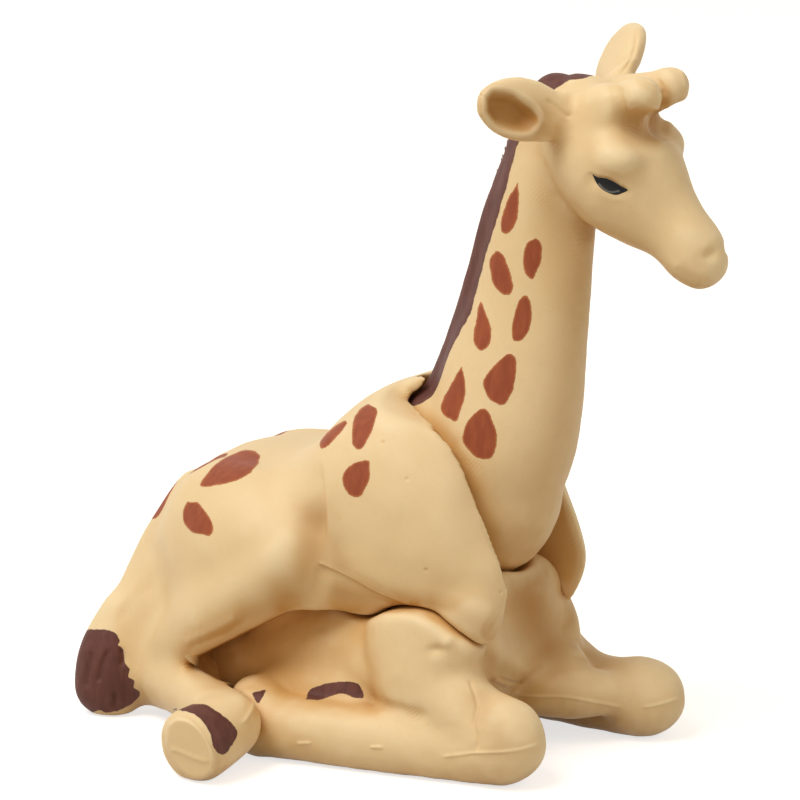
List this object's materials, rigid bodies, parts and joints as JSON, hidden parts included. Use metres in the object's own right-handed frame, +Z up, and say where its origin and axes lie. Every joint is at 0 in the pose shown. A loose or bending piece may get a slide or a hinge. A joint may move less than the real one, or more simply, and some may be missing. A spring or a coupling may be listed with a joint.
{
  "type": "toy animal figure",
  "caption": "Lying giraffe calf figure in soft painted plastic, with folded legs, upright ears and a neck that nods forward on a cross pin.",
  "frame": {"origin": "middle of the underside of the whole figure's box, on the surface it lies on", "axes": "+X towards the nose, +Y to the animal's left, +Z up"},
  "size_m": [0.0682, 0.044, 0.0729],
  "materials": {
    "body_plastic": "soft cream plastic with brushed red-brown spots",
    "neck_plastic": "soft cream plastic with brushed red-brown spots and a dark mane",
    "ear_plastic": "soft cream plastic",
    "pin_plastic": "plain white plastic"
  },
  "bodies": {
    "body": {"upper_body": "body_plastic", "leg_unit": "body_plastic"},
    "neck": {"neck": "neck_plastic", "neck_pin": "pin_plastic", "head": "neck_plastic", "right_ear": "ear_plastic", "left_ear": "ear_plastic"}
  },
  "joints": [
    {"name": "neck_nod", "type": "hinge", "parent": "body", "child": "neck", "pos_m": [0.00553, 0.00559, 0.027], "axis": [0, 1, 0], "range_deg": [-4, 18]}
  ]
}
